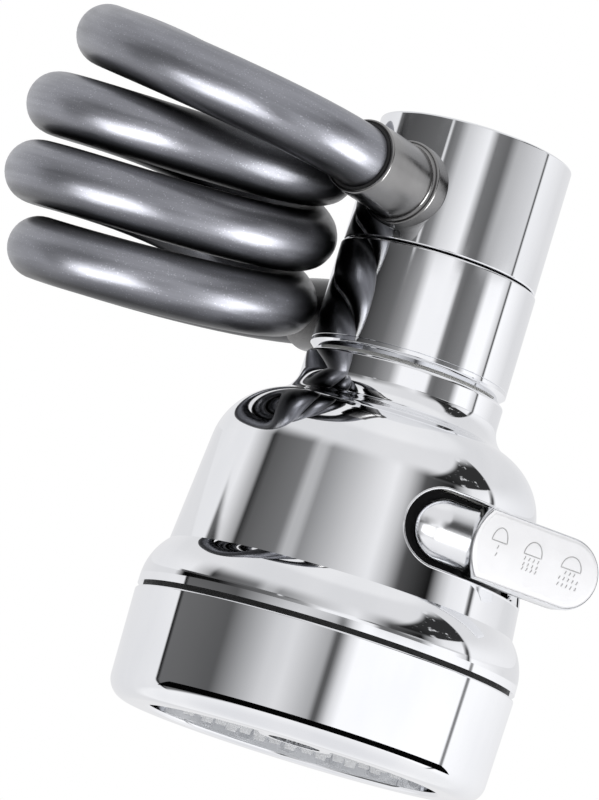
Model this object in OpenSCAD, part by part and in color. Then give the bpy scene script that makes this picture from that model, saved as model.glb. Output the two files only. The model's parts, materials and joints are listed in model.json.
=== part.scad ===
// Pull-out faucet sprayer: a threaded adapter, a coiled hose and a docked handset with a spray selector.
// Millimetres, +Z up, origin at the centre of the faucet thread's mouth.

/* [Adapter] */
// Height of the adapter
adapter_h = 18.9; // [18.6:0.1:20]
// Wall of the adapter's shell
adapter_wall = 1.6; // [1.2:0.1:1.8]
// Rounding of the adapter's top edge
adapter_edge = 0.6; // [0.4:0.1:1.1]
// Radius of the faucet thread's bore
thread_r = 10.4; // [10.2:0.05:10.6]
// Wall of the threaded insert
insert_wall = 2.3; // [2:0.1:2.6]
// Depth of the faucet thread
thread_depth = 5.2; // [4.8:0.1:5.6]
// Thickness of the faucet washer
washer_t = 1.2; // [1:0.1:1.4]

/* [Neck] */
// How far the neck sleeve stands out from the adapter's shell
sleeve_out = 0.25; // [0:0.05:0.4]
// Height of the neck sleeve
sleeve_h = 14.7; // [14.4:0.1:16]
// Wall of the neck sleeve
sleeve_wall = 1.6; // [1.2:0.1:1.8]
// Height of the bevelled collar under the sleeve
collar_h = 1.3; // [1.1:0.1:1.8]
// Open groove between the collar and the bell
neck_groove = 0.6; // [0.4:0.05:1]

/* [Bell] */
// How far the bell's neck stands out from the neck sleeve
bell_neck_out = 0.1; // [0:0.05:0.3]
// Wall of the bell
bell_wall = 1.8; // [1.5:0.1:2]
// Height of the bell from its neck's top edge to its mouth
bell_h = 39.1; // [38.6:0.1:40]
// Radius of the hollow curve between neck and shoulder
neck_fillet = 1.8; // [1.2:0.1:2.4]
// Radius of the shoulder's round
shoulder_r = 10.3; // [9.8:0.1:10.6]
// How far the mouth stands out from the shoulder's widest place
flare_out = 3.9; // [3.7:0.05:4.1]
// Taper of the bell's wall, in degrees
body_taper = 5; // [4:0.25:6]
// Height of the tapered wall
body_h = 16.2; // [15.6:0.1:16.6]
// Radius of the flare's round above the mouth
flare_round = 8.9; // [8:0.1:10]
// Radius of the bell's mouth
mouth_r = 27.95; // [27.8:0.05:28.2]

/* [Face] */
// Height of the dark joint between bell and face ring
joint_gap = 0.7; // [0.5:0.05:1]
// How far the face ring stands out from the bell's mouth
ring_out = 0.1; // [0:0.05:0.3]
// Height of the face ring
ring_h = 15.8; // [15:0.1:17]
// How much the ring's radius narrows towards its bottom edge
ring_draft = 0.35; // [0:0.05:0.6]
// Rounding of the ring's bottom edge
ring_edge = 3.2; // [2.4:0.1:3.8]
// Width of the ring's land round the opening in the face
face_land = 6.75; // [6.4:0.05:7.2]
// Depth of the spray plate inside the ring
face_recess = 2.6; // [2:0.1:3.4]
// Thickness of the spray plate
plate_t = 2; // [1.6:0.1:2.4]
// Radius of a spray nozzle's tip
nozzle_r = 0.75; // [0.6:0.05:0.9]
// Length of a spray nozzle below the plate
nozzle_out = 1.3; // [0.8:0.1:1.6]
// Radius of the aerator in the middle of the face
aerator_r = 5.6; // [5:0.1:6]

/* [Selector] */
// Height of the lever's slot in the bell
slot_h = 11.3; // [11.2:0.1:12]
// Angle where the slot starts, from the front, in degrees
slot_from = 11.5; // [8:0.5:12]
// Angle where the slot ends, from the front, in degrees
slot_to = 96; // [95:0.5:105]
// Distance from the bell's neck top edge down to the lever's middle
lever_drop = 21.7; // [21.6:0.1:22]
// Angle from the front where the lever stands on the selector, in degrees
lever_at = 23.2; // [22:0.2:25]
// Room over and under the lever's paddle in the slot
paddle_room = 0.5; // [0.4:0.05:0.8]
// Distance from the lever's root to the paddle's tip
paddle_reach = 25.8; // [24:0.2:30]
// Room over and under the lever's neck in the slot
lever_neck_room = 1.2; // [0.9:0.05:1.6]
// Thickness of the paddle under its raised pad
paddle_t = 3.1; // [2.6:0.1:3.4]
// Height and width of the bevel round the raised pad
pad_bevel = 0.9; // [0.5:0.1:1.1]

/* [Hose] */
// Outer diameter of the hose
hose_od = 9.1; // [8.8:0.05:9.3]
// Open height between two turns of the coil
coil_gap = 1.1; // [0.9:0.05:1.4]
// Mean radius of the coil's turns
coil_r = 19.9; // [19:0.1:21]
// Room between the coil and the neck sleeve
coil_clear = 0.5; // [0.4:0.05:1]
// How far the first turn's front hangs below its middle
coil_tilt = 5; // [4.6:0.1:5.2]
// Length of a hose socket outside the shell
socket_len = 12.8; // [12:0.1:13.4]
// Wall of a hose socket
socket_wall = 0.75; // [0.6:0.05:0.9]
// Angle of the hose sockets from the side, in degrees
port_angle = 55; // [52:0.5:58]
// Radius of the water way through a socket
port_r = 2; // [1.6:0.1:2.1]

/* [Hidden] */
$fn = 96;

seat_gap = 0.05;     // between pieces that are fixed to each other
move_gap = 0.3;      // between pieces that move past each other
pivot_gap = 0.06;    // round the selector's pivot
cut = 1;             // how far a cutter runs past the solid
arc_steps = 12;
ring_wire = 0.6;     // thickness radius of the O-rings
ring_at = 1.5;       // depth of an O-ring's middle below the face that it seals
stem_wall = 0.9;     // wall of a hose port's stem
stem_r = port_r + stem_wall;
port_seat_r = stem_r + 2 * ring_wire + 2 * seat_gap;
port_roof = 0.4;     // solid left over and under a port

// Adapter, from the top down
core_r = thread_r + insert_wall;
adapter_bore = core_r + seat_gap;
adapter_r = adapter_bore + adapter_wall;
washer_land = 3.4;   // width of the washer inside the thread's bore
washer_gap = 0.2;
washer_z = -thread_depth;
core_z = washer_z - washer_t;
adapter_z = -adapter_h;
screen_r = thread_r - washer_land;
chamber_r = screen_r - 1;
upper_z = core_z - port_roof - port_seat_r;
chamber_z = upper_z - port_r - port_roof;
magnet_lip = 0.6;    // wall of the core round the magnet
magnet_w = 3.45;
magnet_h = 2.6;
magnet_r = core_r - magnet_lip - seat_gap;
magnet_in = magnet_r - magnet_w;
magnet_z = adapter_z + 0.2;
dock_wall = 2;       // wall of the core between the magnet and the dock's bore
dock_bore_r = magnet_in - dock_wall;
dock_bore_h = 3.4;

// Neck, from the dock down
sleeve_r = adapter_r + sleeve_out;
bell_neck_r = sleeve_r + bell_neck_out;
sleeve_z = adapter_z - move_gap;
sleeve_bore = sleeve_r - sleeve_wall;
collar_z = sleeve_z - sleeve_h;
groove_z = collar_z - collar_h;
bell_z = groove_z - neck_groove;
neck_bore = bell_neck_r - bell_wall;
neck_core_r = min(sleeve_bore, neck_bore) - seat_gap;
plate_h = 1.5;
lower_port_drop = 0.55;   // from the sleeve's middle down to the lower port
lower_z = (sleeve_z + collar_z) / 2 - lower_port_drop;
inlet_r = 5;
inlet_wall = 2;
neck_tail_r = inlet_r + inlet_wall;
neck_foot_z = bell_z - 1.2;
neck_tail_h = 3.5;

// Bell: the shoulder's round touches the tapered wall and the hollow curve at the neck
mouth_z = bell_z - bell_h;
mouth_band = 1.1;    // straight band between the mouth and the flare's round
body_r = mouth_r - flare_out;
crease_r = body_r + body_h * tan(body_taper);
flare_centre = [mouth_r - flare_round, mouth_z + mouth_band];
flare_from = acos((crease_r - flare_centre[0]) / flare_round);
crease_z = flare_centre[1] + flare_round * sin(flare_from);
shoulder_z = crease_z + body_h;
shoulder_centre = [body_r - shoulder_r * cos(body_taper), shoulder_z - shoulder_r * sin(body_taper)];
fillet_x = bell_neck_r + neck_fillet;
fillet_centre = [fillet_x, shoulder_centre[1]
    + sqrt(pow(shoulder_r + neck_fillet, 2) - pow(fillet_x - shoulder_centre[0], 2))];
fillet_turn = atan2(fillet_centre[1] - shoulder_centre[1], fillet_centre[0] - shoulder_centre[0]);
neck_edge = 0.5;
spigot_h = 4.5;      // how far the face ring reaches up inside the bell

// Selector, measured from the lever's middle height
lever_z = bell_z - lever_drop;
lever_room = slot_h / 2;
slot_step = 0.02;    // the slot's round ends are this much lower than its straight run
slot_lip = 0.1;      // how far the carrier's floor and the hub's top stay inside the slot's height
carrier_r = body_r - bell_wall - move_gap - seat_gap;
carrier_wall = 1.9;
hub_gap = 0.4;
hub_r = carrier_r - carrier_wall - hub_gap;
hub_top = lever_z + lever_room - slot_lip;
floor_z = lever_z - lever_room + slot_lip;
floor_t = 2;
pivot_r = 2.5;
pivot_pocket = 3;
outlet_in = 7.6;     // from the hub's outside to the middle of an outlet
outlet_at = hub_r - outlet_in;
outlet_r = 2.2;
outlet_h = 7;
outlet_step = 15;
outlet_angle = 60;
ball_r = 1.5;
ball_in = 4.6;       // from the hub's outside to the ball's middle
ball_at = hub_r - ball_in;
ball_angle = 200;
ball_up = 0.7;
ball_z = floor_z + ball_up;
ball_bore_h = 7;
spring_turns = 5;
spring_wire = 0.25;
spring_r = 1.1;
spring_h = 4.5;
lever_swing = 30;
swing_spare = 8;     // how far the ball's groove runs past the swing at each end, in degrees

// Lever, in the frame of its root: X outward, Y along the lever
paddle_h = slot_h - 2 * paddle_room;
lever_neck_h = slot_h - 2 * lever_neck_room;
paddle_x = carrier_r + seat_gap;
pad_x = paddle_x + paddle_t;
tip_y = paddle_reach - paddle_h / 2;
neck_y = 1.8;        // middle of the neck's round end
neck_bulge_r = 5.5;  // round of the neck's front
neck_front = pad_x + 0.2;
neck_end = 1.6;      // how far the neck runs on inside the paddle
pad_y = 5.1;         // where the curved edge of the paddle starts
pad_round = 8;       // radius of that edge
tenon_y = -1;
tenon_size = 6;

// Face, from the bell's mouth down
ring_r = mouth_r + ring_out;
face_r = ring_r - face_land;
ring_z = mouth_z - joint_gap;
ring_end = ring_z - ring_h;
spigot_r = mouth_r - bell_wall - seat_gap;
spigot_wall = 2.05;
ring_bore = spigot_r - spigot_wall;
spigot_top = mouth_z + spigot_h;
plate_z = ring_end + face_recess;
seals_z = floor_z - floor_t - move_gap;
seal_t = 1;
distributor_z = seals_z - seal_t;
distributor_t = 3;
distributor_r = body_r - bell_wall + 1.1;
chamber_top = distributor_z - distributor_t - seat_gap;
chamber_roof = 1.5;
chamber_wall = 1.3;
nozzle_base_r = nozzle_r + 0.3;
aerator_bore = aerator_r - 1;
aerator_out = 1.4;   // how far the aerator stands out of the plate
aerator_lip = 0.8;
first_row = 0.47;    // radius of the first row of nozzles, as a share of the opening's
row_step = 0.1875;
nozzle_rows = [for (i = [0:2]) [face_r * (first_row + row_step * i), 12 + 6 * i]];

// Hose ports
hose_r = hose_od / 2;
hose_room = 0.2;
socket_bore = hose_r + hose_room;
socket_r = socket_bore + socket_wall;
flange_out = 0.8;
flange_r = socket_r + flange_out;
flange_t = 1.6;
ferrule_t = 1.7;
seal_h = 1.5;
seal_step = 0.2;     // how far the seal reaches into the socket's wall, and out of its mouth
upper_az = 180 + port_angle;
lower_az = 180 - port_angle;

// Hose coil: turns are counted from the side that faces the neck, going round by the front
coil_pitch = hose_od + coil_gap;
coil_x = -(sleeve_r + coil_clear + hose_r + coil_r);
coil_up = 12.6;      // from the upper port up to where the count of turns starts
coil_z = upper_z + coil_up;
coil_from = 0.5;
coil_to = 3.5;
coil_steps = 24;
first_turn_narrower = 4;
back_rise = 2;
first_turn_rise = 1.3;
last_turn_narrower = 3.7;
lean_first = 1.85;
lean_loss = 0.25;
tilt_loss = 0.25;
upper_port_reach = 20;
upper_turn_reach = 25;
lower_port_reach = 28;
lower_turn_reach = 28;
lead_steps = 9;
hose_sides = 8;

function arc(centre, r, from, to) = [
    for (i = [0:arc_steps]) let (a = from + (to - from) * i / arc_steps) centre + r * [cos(a), sin(a)]
];

module turned(points) {
    rotate_extrude() polygon(points);
}

module tube(r_out, r_in, top, bottom) {
    translate([0, 0, bottom]) difference() {
        cylinder(r = r_out, h = top - bottom);
        translate([0, 0, -cut]) cylinder(r = r_in, h = top - bottom + 2 * cut);
    }
}

// Puts +Z along the radius that points to the angle az, at height z
module radial(az, z) {
    translate([0, 0, z]) rotate([0, 90, az]) children();
}

// ---- Adapter ----

module adapter_shell() {
    color("silver") difference() {
        turned(concat(
            [[adapter_bore, adapter_z], [adapter_bore, 0]],
            arc([adapter_r - adapter_edge, -adapter_edge], adapter_edge, 90, 0),
            [[adapter_r, adapter_z]]
        ));
        radial(upper_az, upper_z) cylinder(r = stem_r + seat_gap, h = adapter_r + cut);
    }
}

module faucet_thread_insert() {
    color("goldenrod") tube(core_r, thread_r, 0, washer_z);
}

module faucet_washer() {
    color("dimgray") tube(core_r - washer_gap, screen_r + seat_gap, washer_z, core_z);
}

module inlet_screen() {
    screen_t = 0.7;
    rows = 4;
    hole_r = 0.45;
    row_step = (screen_r - 1) / rows;
    color("lightgray") difference() {
        translate([0, 0, core_z]) cylinder(r = screen_r, h = screen_t);
        for (row = [1:rows], i = [0:6 * row - 1]) {
            rotate(60 * i / row) translate([row_step * row, 0, core_z - cut])
                cylinder(r = hole_r, h = screen_t + 2 * cut);
        }
    }
}

module adapter_core() {
    color("whitesmoke") difference() {
        translate([0, 0, adapter_z]) cylinder(r = core_r, h = core_z - adapter_z);
        translate([0, 0, chamber_z]) cylinder(r = chamber_r, h = core_z - chamber_z + cut);
        translate([0, 0, adapter_z - cut]) cylinder(r = dock_bore_r, h = dock_bore_h + cut);
        tube(magnet_r + seat_gap, magnet_in - seat_gap, magnet_z + magnet_h + seat_gap, adapter_z - cut);
        radial(upper_az, upper_z) cylinder(r = stem_r + seat_gap, h = core_r + cut);
        radial(upper_az, upper_z) translate([0, 0, core_r - ring_at - ring_wire])
            cylinder(r = port_seat_r, h = ring_at + ring_wire + cut);
    }
}

module dock_magnet() {
    color("gray") tube(magnet_r, magnet_in, magnet_z + magnet_h, magnet_z);
}

// ---- Hose sockets, one on the adapter and one on the neck sleeve ----

module hose_socket(az, z, shell_r) {
    mouth = shell_r + socket_len;
    seat = mouth - hose_od;
    stem_from = chamber_r + 1;
    flange_edge = 0.4;
    mouth_edge = 0.3;
    difference() {
        union() {
            difference() {
                radial(az, z) {
                    cylinder(r = flange_r, h = shell_r + flange_t - flange_edge);
                    cylinder(r = flange_r - flange_edge, h = shell_r + flange_t);
                    cylinder(r = socket_r, h = mouth - mouth_edge);
                    cylinder(r = socket_r - mouth_edge, h = mouth);
                }
                translate([0, 0, z - 2 * flange_r]) cylinder(r = shell_r + seat_gap, h = 4 * flange_r);
            }
            radial(az, z) translate([0, 0, stem_from])
                cylinder(r = stem_r, h = shell_r + flange_t - stem_from);
        }
        radial(az, z) {
            cylinder(r = port_r, h = mouth);
            translate([0, 0, seat - ferrule_t]) cylinder(r = socket_bore, h = mouth);
            translate([0, 0, mouth - seal_h])
                cylinder(r = socket_bore + seal_step + seat_gap, h = seal_h + cut);
        }
    }
}

module port_o_ring(az, z, core) {
    radial(az, z) translate([0, 0, core - ring_at]) rotate_extrude()
        translate([stem_r + seat_gap + ring_wire, 0]) circle(r = ring_wire);
}

module hose_ferrule(az, z, shell_r) {
    seat = shell_r + socket_len - hose_od;
    radial(az, z) tube(socket_bore - seat_gap, port_r, seat, seat - ferrule_t + seat_gap);
}

module hose_seal(az, z, shell_r) {
    top = shell_r + socket_len + seal_step;
    bottom = shell_r + socket_len - seal_h + seat_gap;
    radial(az, z) tube(socket_bore + seal_step, hose_r + seat_gap, top, bottom);
}

module upper_hose_socket() {
    color("dimgray") hose_socket(upper_az, upper_z, adapter_r);
}

module upper_port_o_ring() {
    color("black") port_o_ring(upper_az, upper_z, core_r);
}

module upper_hose_ferrule() {
    color("goldenrod") hose_ferrule(upper_az, upper_z, adapter_r);
}

module upper_hose_seal() {
    color("black") hose_seal(upper_az, upper_z, adapter_r);
}

module lower_hose_socket() {
    color("dimgray") hose_socket(lower_az, lower_z, sleeve_r);
}

module lower_port_o_ring() {
    color("black") port_o_ring(lower_az, lower_z, neck_core_r);
}

module lower_hose_ferrule() {
    color("goldenrod") hose_ferrule(lower_az, lower_z, sleeve_r);
}

module lower_hose_seal() {
    color("black") hose_seal(lower_az, lower_z, sleeve_r);
}

// ---- Hose ----

function ease(x) = let (u = min(max(x, 0), 1)) u * u * (3 - 2 * u);

function turn_radius(t) = coil_r - first_turn_narrower * ease((1 - t) / 0.5)
    - last_turn_narrower * ease((t - 3) / 0.5);

// A point of the coil after t turns
function coil_point(t) = let (a = 360 * t) [
    coil_x + turn_radius(t) * cos(a),
    -turn_radius(t) * sin(a),
    coil_z + first_turn_rise * ease((1 - t) / 0.5) - coil_pitch * t - (lean_first - lean_loss * t) * cos(a)
        - (coil_tilt - tilt_loss * t) * sin(a) + back_rise * pow(max(-sin(a), 0), 2)
];

function along(v, length) = v * (length / norm(v));

function bezier(a, b, c, d, u) = pow(1 - u, 3) * a + 3 * pow(1 - u, 2) * u * b
    + 3 * (1 - u) * u * u * c + pow(u, 3) * d;

function port_point(az, z, s) = [s * cos(az), s * sin(az), z];

nudge = 0.01;
upper_mouth = adapter_r + socket_len;
lower_mouth = sleeve_r + socket_len;
coil_start = coil_point(coil_from);
coil_end = coil_point(coil_to);
coil_start_dir = coil_point(coil_from + nudge) - coil_start;
coil_end_dir = coil_end - coil_point(coil_to - nudge);

hose_path = concat(
    [for (i = [0:1]) port_point(upper_az, upper_z, upper_mouth - hose_od * (2 - i) / 2)],
    [for (i = [0:lead_steps]) bezier(
        port_point(upper_az, upper_z, upper_mouth),
        port_point(upper_az, upper_z, upper_mouth + upper_port_reach),
        coil_start - along(coil_start_dir, upper_turn_reach), coil_start, i / (lead_steps + 1))],
    [for (i = [0:coil_steps * (coil_to - coil_from)]) coil_point(coil_from + i / coil_steps)],
    [for (i = [1:lead_steps + 1]) bezier(
        coil_end, coil_end + along(coil_end_dir, lower_turn_reach),
        port_point(lower_az, lower_z, lower_mouth + lower_port_reach),
        port_point(lower_az, lower_z, lower_mouth), i / (lead_steps + 1))],
    [for (i = [1:2]) port_point(lower_az, lower_z, lower_mouth - hose_od * i / 2)]
);
path_last = len(hose_path) - 1;

straight = 2;        // how many steps of the path lie straight in each socket

function path_dir(i) = along(hose_path[min(i + 1, path_last)] - hose_path[max(i - 1, 0)], 1);

// A ring of corners round point i, with one corner straight up
function hose_ring(i) = let (
    ahead = path_dir(i <= straight ? 0 : i >= path_last - straight ? path_last : i),
    side = along(cross(ahead, [0, 0, 1]), 1),
    up = cross(side, ahead)
) [for (k = [0:hose_sides - 1]) let (a = 360 * k / hose_sides)
    hose_path[i] + hose_r * (cos(a) * up + sin(a) * side)];

module swept(rings, sides) {
    last = len(rings) - 1;
    polyhedron(
        points = [for (ring = rings) each ring],
        faces = concat(
            [for (k = [1:sides - 2]) [0, k, k + 1]],
            [for (k = [1:sides - 2]) [last * sides, last * sides + k + 1, last * sides + k]],
            [for (i = [0:last - 1], k = [0:sides - 1]) let (n = (k + 1) % sides)
                [i * sides + k, (i + 1) * sides + k, i * sides + n]],
            [for (i = [0:last - 1], k = [0:sides - 1]) let (n = (k + 1) % sides)
                [i * sides + n, (i + 1) * sides + k, (i + 1) * sides + n]]
        )
    );
}

module coiled_hose() {
    color("slategray") swept([for (i = [0:path_last]) hose_ring(i)], hose_sides);
}

steps = [for (i = [0:path_last - 1]) norm(hose_path[i + 1] - hose_path[i])];
hose_length = [for (step = steps) 1] * steps;
apart = ceil(coil_steps / 3);
hose_gap = min([for (i = [0:path_last - apart], j = [i + apart:path_last])
    norm(hose_path[i] - hose_path[j])]) - hose_od;
echo(hose_length = hose_length, least_gap_to_itself = hose_gap);

// ---- Neck of the handset ----

module neck_sleeve() {
    edge = 0.3;
    color("silver") difference() {
        turned([
            [sleeve_bore, collar_z], [sleeve_bore, sleeve_z],
            [sleeve_r - edge, sleeve_z], [sleeve_r, sleeve_z - edge], [sleeve_r, collar_z]
        ]);
        radial(lower_az, lower_z) cylinder(r = stem_r + seat_gap, h = sleeve_r + cut);
    }
}

module neck_collar() {
    band = 0.5;
    bevel_in = 0.9;
    color("gainsboro") turned([
        [neck_core_r + seat_gap, groove_z], [neck_core_r + seat_gap, collar_z],
        [sleeve_r, collar_z], [sleeve_r, collar_z - band], [sleeve_r - bevel_in, groove_z]
    ]);
}

module dock_plate() {
    color("darkgray") tube(neck_core_r, magnet_in, sleeve_z, sleeve_z - plate_h);
}

module dock_spigot() {
    r = dock_bore_r - move_gap;
    top = adapter_z + dock_bore_h - 2 * move_gap;
    edge = 1;
    color("whitesmoke") turned([
        [0, sleeve_z - plate_h], [0, top], [r - edge, top], [r, top - edge],
        [r, sleeve_z], [magnet_in - seat_gap, sleeve_z], [magnet_in - seat_gap, sleeve_z - plate_h]
    ]);
}

module neck_core() {
    top = sleeve_z - plate_h;
    tail = neck_foot_z - neck_tail_h;
    color("whitesmoke") difference() {
        union() {
            translate([0, 0, neck_foot_z]) cylinder(r = neck_core_r, h = top - neck_foot_z);
            translate([0, 0, tail]) cylinder(r = neck_tail_r, h = neck_foot_z - tail);
        }
        translate([0, 0, tail - cut]) cylinder(r = inlet_r, h = lower_z + port_r - tail + cut);
        radial(lower_az, lower_z) cylinder(r = stem_r + seat_gap, h = neck_core_r + cut);
        radial(lower_az, lower_z) translate([0, 0, neck_core_r - ring_at - ring_wire])
            cylinder(r = port_seat_r, h = ring_at + ring_wire + cut);
    }
}

module neck_o_ring() {
    color("black") translate([0, 0, neck_foot_z - ring_wire - seat_gap]) rotate_extrude()
        translate([neck_tail_r + seat_gap + ring_wire, 0]) circle(r = ring_wire);
}

// ---- Bell and selector ----

function bell_outside() = concat(
    arc([bell_neck_r - neck_edge, bell_z - neck_edge], neck_edge, 90, 0),
    arc(fillet_centre, neck_fillet, 180, 180 + fillet_turn),
    arc(shoulder_centre, shoulder_r, fillet_turn, body_taper),
    arc(flare_centre, flare_round, flare_from, 0),
    [[mouth_r, mouth_z]]
);

function bell_inside() = concat(
    [[mouth_r - bell_wall, mouth_z], [mouth_r - bell_wall, spigot_top], [crease_r - bell_wall, crease_z]],
    arc(shoulder_centre, shoulder_r - bell_wall, body_taper, 90),
    [[neck_bore, shoulder_centre[1] + shoulder_r - bell_wall], [neck_bore, bell_z]]
);

// Angles from the front are counted towards +X
function from_front(angle) = angle - 90;

module lever_slot() {
    end_turn = asin(lever_room / body_r);
    reach = mouth_r;
    inner = hub_r;
    end_r = lever_room - slot_step;
    first = from_front(slot_from + end_turn);
    last = from_front(slot_to - end_turn);
    rotate([0, 0, first]) rotate_extrude(angle = last - first)
        translate([inner, lever_z - lever_room]) square([reach - inner, slot_h]);
    for (a = [first, last]) {
        radial(a, lever_z) translate([0, 0, inner - 1]) cylinder(r = end_r, h = reach - inner + 1);
    }
}

module bell_housing() {
    color("silver") difference() {
        turned(concat(bell_outside(), bell_inside()));
        lever_slot();
    }
}

module valve_body() {
    shell_room = 0.8;
    pocket_r = neck_tail_r + 2 * ring_wire + 2 * seat_gap;
    top = neck_foot_z - 2 * seat_gap;
    pocket_z = neck_foot_z - neck_tail_h - 0.6;
    round_r = shoulder_r - bell_wall - shell_room;
    round_to = asin((hub_top - shoulder_centre[1]) / round_r);
    color("whitesmoke") difference() {
        turned(concat(
            [[0, floor_z + move_gap], [0, pocket_z], [pocket_r, pocket_z], [pocket_r, top],
             [neck_bore - seat_gap, top], [neck_bore - seat_gap, shoulder_centre[1] + round_r]],
            arc(shoulder_centre, round_r, 90, round_to),
            [[hub_r, hub_top], [hub_r, floor_z + move_gap]]
        ));
        translate([0, 0, floor_z + pivot_pocket + 1]) cylinder(r = inlet_r, h = -floor_z);
        rotate(outlet_angle) translate([outlet_at, 0, floor_z - cut])
            cylinder(r = outlet_r, h = outlet_h + cut);
        radial(outlet_angle, floor_z + outlet_h) cylinder(r = outlet_r - 0.3, h = outlet_at + 1);
        translate([0, 0, floor_z]) cylinder(r = pivot_r + seat_gap, h = pivot_pocket);
        rotate(ball_angle) translate([ball_at, 0, floor_z]) cylinder(r = ball_r + seat_gap, h = ball_bore_h);
    }
}

module selector_pivot() {
    foot = distributor_z - distributor_t / 2;
    top = floor_z + pivot_pocket - 4 * seat_gap;
    color("goldenrod") translate([0, 0, foot]) cylinder(r = pivot_r, h = top - foot);
}

module detent_ball() {
    color("silver") rotate(ball_angle) translate([ball_at, 0, ball_z]) sphere(r = ball_r);
}

module detent_spring() {
    rings = 8 * spring_turns;
    sides = 6;
    bottom = ball_z + ball_r + spring_wire + seat_gap;
    color("darkgray") rotate(ball_angle) translate([ball_at, 0, bottom]) swept([
        for (i = [0:rings]) let (a = -360 * spring_turns * i / rings) [
            for (k = [0:sides - 1]) let (b = 360 * k / sides) [
                (spring_r + spring_wire * sin(b)) * cos(a),
                (spring_r + spring_wire * sin(b)) * sin(a),
                (spring_h - spring_wire) * i / rings + spring_wire * cos(b)
            ]
        ]
    ], sides);
}

// Puts X along the radius at the lever's root, Y along the lever and Z at its middle height
module at_lever() {
    translate([0, 0, lever_z]) rotate(from_front(lever_at)) children();
}

// The lever's square tenon, which passes through the carrier's wall
module lever_tenon(grow) {
    side = tenon_size + 2 * grow;
    translate([carrier_r - carrier_wall + 2 * seat_gap - grow, tenon_y - grow, -side / 2])
        cube([carrier_wall + 2 * grow, side, side]);
}

module selector_carrier() {
    height = hub_top - move_gap - floor_z + floor_t;
    color("black") difference() {
        translate([0, 0, floor_z - floor_t]) cylinder(r = carrier_r, h = height);
        translate([0, 0, floor_z]) cylinder(r = carrier_r - carrier_wall, h = slot_h + cut);
        translate([0, 0, floor_z - floor_t - cut]) cylinder(r = pivot_r + pivot_gap, h = floor_t + 2 * cut);
        translate([0, 0, ball_z]) rotate(ball_angle - lever_swing - swing_spare)
            rotate_extrude(angle = lever_swing + 2 * swing_spare)
                translate([ball_at, 0]) circle(r = ball_r + move_gap);
        for (i = [-1:1]) {
            rotate(outlet_angle + outlet_step * i) translate([outlet_at, 0, floor_z - floor_t - cut])
                cylinder(r = outlet_r, h = floor_t + 2 * cut);
        }
        at_lever() lever_tenon(seat_gap);
    }
}

// The lever's neck: a round-ended block with a front that bulges like a tube
module lever_neck() {
    half = lever_neck_h / 2;
    depth = paddle_t + pad_bevel + cut;
    intersection() {
        translate([neck_front - neck_bulge_r, neck_y, 0]) {
            sphere(r = neck_bulge_r);
            rotate([-90, 0, 0]) cylinder(r = neck_bulge_r, h = tip_y - neck_y);
        }
        translate([paddle_x - cut, 0, 0]) rotate([90, 0, 90]) linear_extrude(height = depth) {
            translate([neck_y, 0]) circle(r = half);
            translate([neck_y, -half]) square([pad_y + neck_end - neck_y, 2 * half]);
        }
    }
}

// The paddle with its raised pad: a bevelled bar with a round tip, which starts at a curved edge
module lever_paddle() {
    half = paddle_h / 2;
    top = pad_x + pad_bevel;
    side = [[paddle_x, half], [pad_x, half], [top, half - pad_bevel]];
    intersection() {
        union() {
            translate([0, tip_y, 0]) rotate([0, 90, 0]) rotate_extrude()
                polygon(concat([[0, paddle_x]], [for (p = side) [p[1], p[0]]], [[0, top]]));
            rotate([-90, 0, 0]) linear_extrude(height = tip_y)
                polygon(concat(side, [for (i = [2:-1:0]) [side[i][0], -side[i][1]]]));
        }
        translate([0, pad_y + pad_round, 0]) {
            rotate([0, 90, 0]) cylinder(r = pad_round, h = top + cut);
            translate([0, 0, -pad_round]) cube([top + cut, tip_y, 2 * pad_round]);
        }
    }
}

module mode_lever() {
    color("silver") at_lever() {
        difference() {
            union() {
                lever_neck();
                lever_paddle();
            }
            translate([0, 0, -slot_h]) cylinder(r = carrier_r + seat_gap, h = 2 * slot_h);
        }
        lever_tenon(0);
    }
}

module selector_seals() {
    for (i = [-1:1]) {
        color("black") rotate(outlet_angle + 2 * outlet_step * i) translate([outlet_at, 0, 0])
            tube(outlet_r + 0.8, outlet_r, seals_z, seals_z - seal_t);
    }
}

module distributor_plate() {
    color("whitesmoke") difference() {
        translate([0, 0, distributor_z - distributor_t]) cylinder(r = distributor_r, h = distributor_t);
        for (i = [-1:1]) {
            rotate(outlet_angle + 2 * outlet_step * i)
                translate([outlet_at, 0, distributor_z - distributor_t - cut])
                cylinder(r = outlet_r, h = distributor_t + 2 * cut);
        }
        translate([0, 0, distributor_z - distributor_t / 2 - 2 * seat_gap])
            cylinder(r = pivot_r + seat_gap, h = distributor_t);
    }
}

// ---- Spray face ----

module spray_chamber() {
    bottom = plate_z + plate_t;
    outer = ring_bore - seat_gap;
    row_room = 1.4;
    rib_t = 1.1;
    divider_r = nozzle_rows[1][0] - row_room;
    inner_r = aerator_r + 0.9;
    color("lightgray") {
        translate([0, 0, chamber_top - chamber_roof]) difference() {
            cylinder(r = outer, h = chamber_roof);
            for (i = [-1:1]) {
                rotate(outlet_angle + 2 * outlet_step * i) translate([outlet_at, 0, -cut])
                    cylinder(r = outlet_r - 0.4, h = chamber_roof + 2 * cut);
            }
        }
        tube(outer, outer - chamber_wall, chamber_top - chamber_roof, bottom);
        tube(divider_r, divider_r - rib_t, chamber_top - chamber_roof, bottom);
        tube(inner_r + chamber_wall, inner_r, chamber_top - chamber_roof, bottom);
    }
}

module face_gasket() {
    joint_depth = 0.8;
    color("black") tube(mouth_r - joint_depth, spigot_r + seat_gap, mouth_z, ring_z);
}

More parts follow.
